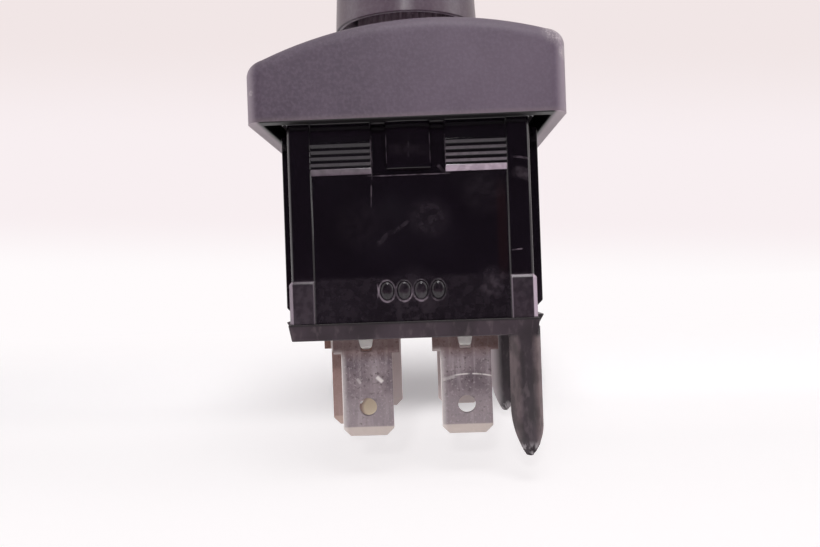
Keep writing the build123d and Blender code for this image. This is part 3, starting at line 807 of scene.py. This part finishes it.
def plateFinish():
    look = plateLook
    made = Finish("platePlastic")
    inner, outer, tip = look["finInner"], look["finOuter"], look["finTip"]
    smear = made.noise(look["smearScale"], 4)
    fine = made.noise(look["scuffScale"], 4, (1, 1, 0.4))
    blot = made.noise(look["blotScale"], 4, (1, 1, 0.5)).rise(0.44, 0.62)
    fins = made.z.fall(look["finTop"] - 0.8, look["finTop"])
    rear = made.y.rise(*look["rearFrom"])
    made.base(smear.rise(0.3, 0.7), look["dark"], look["light"])
    made.paint(fine.rise(0.52, 0.72), look["scuff"], look["scuffShare"])
    made.paint(fins * blot, look["blot"], look["blotShare"])
    # painted highlights: the inner edges of both fins and the outer edge of the front fin are painted lighter
    paintedLight = made.x.fall(inner + 0.5, inner + 1.5) * look["innerShare"]
    paintedLight = paintedLight.most(made.x.rise(outer - 1.3, outer) * look["outerShare"] * (1 - rear))
    made.paint(paintedLight * fins * (0.85 - 0.45 * blot) * (0.7 + 0.5 * fine), look["paintedLight"])
    # painted highlight: a pale band along the inner edge of the rear fin
    made.paint(made.x.fall(inner + 0.1, inner + 1.9) * rear * fins, look["pale"])
    made.paint(made.z.fall(tip - 1.2, tip) * fine.rise(0.45, 0.6), look["pale"], look["tipShare"])
    seam = made.z.rise(*look["seamHeight"]) * made.y.fall(*look["seamDepth"])
    made.paint(seam * abs(made.x).fall(*look["seamReach"]), look["blot"], look["seamShare"])
    return made.feed(Roughness=look["rough"] + 0.2 * smear, Normal=made.bump(fine, look["scuffDepth"], 0.4))


def addPlate():
    plate = carryOver("base_plate", "plateWithFins", plateLook["edgeRound"], plateFinish(), "plate_plastic")
    frayTip(plate)


knobLook = {
    "edgeRound": 0.08,
    "dark": "52434F",
    "light": "60515C",
    "cloudScale": 160,
    "grain": "70646E",
    "grainScale": 2200,
    "grainShare": 0.4,
    "rough": 0.27,
    # painted light colour for the bore inside the knob
    "inside": "CFC4CD",
    "boreRadius": 9.55,
    "insideUpTo": 20,
    "skirtBottom": 15.85,
    "skirtDrop": 0.30,
}


def knobFinish():
    look = knobLook
    made = Finish("knobPlastic")
    grain = made.noise(look["grainScale"], 3)
    cloud = made.noise(look["cloudScale"], 3)
    radius = (made.x * made.x + made.y * made.y) ** 0.5
    bore = radius.fall(look["boreRadius"] - 0.2, look["boreRadius"])
    made.base(cloud, look["dark"], look["light"])
    made.paint(grain.rise(0.4, 0.7), look["grain"], look["grainShare"])
    # painted light: the bore is painted pale up to insideUpTo
    made.paint(bore * made.z.fall(look["insideUpTo"] - 2, look["insideUpTo"]), look["inside"])
    return made.feed(Roughness=look["rough"] + 0.1 * grain)


def addKnob():  # the skirt hangs a little nearer to the cap
    look = knobLook
    knob = carryOver("knob", "knobCap", look["edgeRound"], knobFinish(), "knob_plastic")
    lowFaces = (look["skirtBottom"] + 0.15) * mm
    shiftFaces(knob, lambda middle, normal: middle.z < lowFaces, (0, 0, -look["skirtDrop"]))


tabLook = {
    "edgeRound": 0.05,
    "light": "94868B",
    "dark": "70636A",
    "patchScale": 380,
    "rough": 0.34,
    "metallic": 0.45,
    "markDepth": 0.03,
    "streak": "B4A8AC",
    "streakScale": 1500,
    "streakShare": 0.55,
    "spot": "4A3E40",
    "spotScale": 2400,
    "spotShare": 0.60,
    "fleckScale": 3300,
    "fleckShare": 0.45,
    "wipedHeight": (-34.5, -31.5),
    "wipedShare": 0.45,
    "brown": "6E4C40",
    "brownFrom": (-29.0, -26.8),
    "bevel": "D2C4BC",
    "bevelTop": -36.7,
    "bevelShare": 0.8,
    "bright": "EFE8E6",
    "tabMiddle": 6.15,
    "halfWidth": 3.15,
    "frontUpTo": -11.2,
    "warmShade": "BE9484",
    "warmShadeShare": 0.45,
    "pale": "E0D5D6",
    "rearDepth": (9, 10),
    "rearHeight": (-28.0, -27.2),
    "brass": "F7E8CE",
    "scratch": ((4.7, -30.75), (9.35, -30.95), 0.13, 0.05),  # start and end (x, z), width, bow
    "scratchShare": 0.75,
    "dents": [  # start and end (x, z), width, strength
        ((3.2, -31.25), (4.9, -30.85), 0.30, 0.30),
        ((-4.95, -30.65), (-4.25, -31.30), 0.34, 0.90),
        ((-7.4, -30.8), (-7.0, -31.4), 0.25, 0.36),
    ],
    "glint": ((-11.5, -25.9), (-11.5, -28.1), 0.20),
    "glintDepth": (-2.8, -2.6),
    "paintedLightSpot": ((-6.2, -3.3, -35.8), 2.2),  # place and radius
    "paintedLightDepth": (-3.45, -3.25, 0.03),
}


def tabMarks(made, wipe, front):  # a long scratch, dents and a painted glint on one rear corner
    look = tabLook
    scratch = made.stroke(*look["scratch"]) * wipe.rise(0.3, 0.5) * look["scratchShare"]
    dents = [made.stroke(start, end, width) * strength for start, end, width, strength in look["dents"]]
    glint = made.stroke(*look["glint"]) * made.y.fall(*look["glintDepth"])
    return reduce(Wire.most, dents, scratch) * front, glint


def tabFinish():
    look = tabLook
    made = Finish("tinnedBrass")
    patch = made.noise(look["patchScale"], 4)
    wipe = made.noise(look["streakScale"], 4, (1, 1, 0.10))
    spot = made.noise(look["spotScale"], 3)
    fleck = made.noise(look["fleckScale"], 2, (1, 1, 1), (0.3, 0.1, 0.2))
    high = made.z.rise(*look["brownFrom"])
    front = made.y.fall(look["frontUpTo"] - 0.6, look["frontUpTo"])
    bevel = made.z.fall(look["bevelTop"] - 0.2, look["bevelTop"])
    made.base(patch.rise(0.3, 0.7), look["light"], look["dark"])
    made.paint(wipe.rise(0.48, 0.72), look["streak"], look["streakShare"])
    made.paint(spot.rise(0.56, 0.68), look["spot"], look["spotShare"])
    made.paint(fleck.rise(0.58, 0.68), look["streak"], look["fleckShare"])
    wiped = made.z.fall(*look["wipedHeight"]) * patch.rise(0.2, 0.6)
    made.paint(wiped, look["streak"], look["wipedShare"])
    # tarnish in patches and painted shade: the shoulders under the plate are brown
    made.paint(high * (0.35 + 0.5 * patch), look["brown"])
    # painted reflection: the lower bevel is painted pale beige
    made.paint(bevel, look["bevel"], look["bevelShare"])
    # painted highlight: a bright line and a softer glow along the left edge of the front tabs, below the
    # shoulders
    fromEdge = made.x - look["tabMiddle"] * made.x.sign() + look["halfWidth"]
    edge = (fromEdge.fall(0.0, 0.80) * 0.5).most(fromEdge.fall(0.07, 0.15))
    made.paint(edge * front * (1 - high), look["bright"])
    # painted shade: every face but the front of the front tabs takes a warm reddish tint
    made.paint(1 - front, look["warmShade"], look["warmShadeShare"])
    # painted light: the rear tabs are painted paler below their shoulders
    rear = made.y.rise(*look["rearDepth"]) * made.z.fall(*look["rearHeight"])
    made.paint(rear * (0.50 + 0.3 * patch), look["pale"])
    # painted light: a pale brass patch on the middle left tab, where it shows through the front tab's hole
    paintedLight = made.near(*look["paintedLightSpot"]).rise(0.1, 0.5) * made.y.band(*look["paintedLightDepth"])
    made.paint(paintedLight, look["brass"])
    mark, glint = tabMarks(made, wipe, front)
    # scratch and dents in bright metal, and a painted glint
    made.paint(mark.most(glint), look["bright"])
    return made.feed(Metallic=look["metallic"] - 0.2 * high - 0.25 * bevel,
                     Roughness=look["rough"] + 0.22 * patch,
                     Normal=made.bump(wipe + 1.5 * mark, look["markDepth"], 0.5))


def addTabs():
    tin = tabFinish()
    for node in [name for name in nodes if name.startswith("terminal")]:
        carryOver(node, node.replace("terminal", "tab"), tabLook["edgeRound"], tin, "tinned_brass")


# Plain materials: dark and light colour, roughness, metallic
plainLook = {
    "boardPlastic": ("A07752", "AE8660", 0.5, 0.0),
    "innerPlastic": ("CFCBC0", "DDDACF", 0.5, 0.0),
    "contactBrass": ("E0C590", "EDD6A5", 0.3, 1.0),
    "springSteel": ("BCBCBE", "CDCDD1", 0.3, 1.0),
    "coilSteel": ("BCBCBE", "CDCDD1", 0.3, 1.0),
    "collarPlastic": ("7C6C75", "9C8C96", 0.42, 0.0),
}


def plainFinish(name):
    dark, light, rough, metallic = plainLook[name]
    made = Finish(name, Metallic=metallic)
    grain = made.noise(800, 3)
    made.base(grain, dark, light)
    return made.feed(Roughness=rough + 0.1 * grain)


def dressNodes():  # the nodes inside keep their own form
    dress(plainFinish("boardPlastic"), "contact_board")
    inner = ["pivot_frame", "gimbal_ring", "cradle", "stem", "x_slider", "y_slider"]
    dress(plainFinish("innerPlastic"), *inner)
    brass = [name for name in nodes if name.split("_")[0] in ("fixed", "bus") or "bridge" in name]
    dress(plainFinish("contactBrass"), *brass)
    steel = [name for name in nodes if "_pin" in name] + ["stem_clip"]
    dress(plainFinish("springSteel"), *steel)
    print("inner nodes done")


collarLook = {
    "edgeRound": 0.03,
    "wideFrom": 12.0,
    "wider": 1.10,
}


def addCollar():  # above the roof the flutes stand a little wider than in the bore
    look = collarLook
    plastic = plainFinish("collarPlastic")
    collar = carryOver("collar", "flutedCollar", look["edgeRound"], plastic, "collar_plastic")
    wider = (look["wider"], look["wider"], 1)
    stretchFaces(collar, lambda middle, normal: middle.z > look["wideFrom"] * mm, wider, (0, 0, 0))


springLook = {
    "edgeRound": 0.05,
    "room": 0.26,
    "press": 0.46,
}


def addSpring():  # it stands a little low, to stay clear of the cradle
    look = springLook
    steel = plainFinish("coilSteel")
    spring = carryOver("return_spring", "coilSpring", look["edgeRound"], steel, "spring_steel")
    low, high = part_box("return_spring")
    foot = (0, 0, low.z)
    height = (high.z - low.z) / mm
    stretchFaces(spring, lambda middle, normal: True, (1, 1, 1 - look["room"] / height), foot)
    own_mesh(spring)


# The small bent tongue that shows in the window of each front terminal
tongueLook = {
    "width": 1.90,
    "height": 1.55,
    "thickness": 0.25,
    "fromFront": 0.42,
    "lean": 0.30,
    "footShare": 0.7,
    "edgeRound": 0.05,
    "round": 0.35,
    "roundSegments": 5,
    "metal": "FFFCF8",
    "grainScale": 1500,
    "rough": 0.34,
    "pitShade": "6E6A58",
    "pitShare": 0.8,
    "pitPlace": (-11.3, -26.1),
    "pitRadius": 0.62,
    "plateLow": -25.6,
}


def tongueFinish(name, middleX):
    look = tongueLook
    made = Finish(name, Metallic=0.1)
    grain = made.noise(look["grainScale"], 3)
    # painted shade: a dark pit near the top of each tongue
    pitShade = made.near((middleX, *look["pitPlace"]), look["pitRadius"]).rise(0.15, 0.6)
    made.base(pitShade * look["pitShare"], look["metal"], look["pitShade"])
    return made.feed(Roughness=look["rough"] + 0.16 * grain)


def addTongues():
    look = tongueLook
    for side in ("left", "right"):
        low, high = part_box("terminal_front_" + side)
        middleX = (low.x + high.x) / 2
        y = low.y + look["fromFront"] * mm
        z = (look["plateLow"] - look["height"] / 2) * mm
        clearSelection()
        bpy.ops.mesh.primitive_cube_add(size=1, location=(middleX, y, z))
        tongue = bpy.context.active_object
        tongue.name = "windowTongue_" + side
        tongue.scale = metres((look["width"], look["thickness"], look["height"]))
        settle(tongue)
        pick(tongue, lambda middle, normal: normal.z < -0.9)
        bpy.ops.transform.translate(value=(0, -look["lean"] * mm, 0))
        bpy.ops.transform.resize(value=(look["footShare"], 1, 1))
        bpy.ops.mesh.bevel(offset=look["round"] * mm, segments=look["roundSegments"])
        bpy.ops.object.mode_set(mode="OBJECT")
        applyModifier(tongue, "BEVEL", width=look["edgeRound"] * mm, segments=2, limit_method="ANGLE")
        smooth(tongue)
        place(tongue, "switch_body", "tinned_brass", tongueFinish("tongueTin_" + side, middleX / mm))
    print("tongues done")


addCamera()
addSweep()
addLamps()
addRoom()
dressNodes()
black = housingFinish()
addCap()
addHousing(black)
addPlate()
addKnob()
addTabs()
addCollar()
addSpring()
addPips(black)
addTongues()
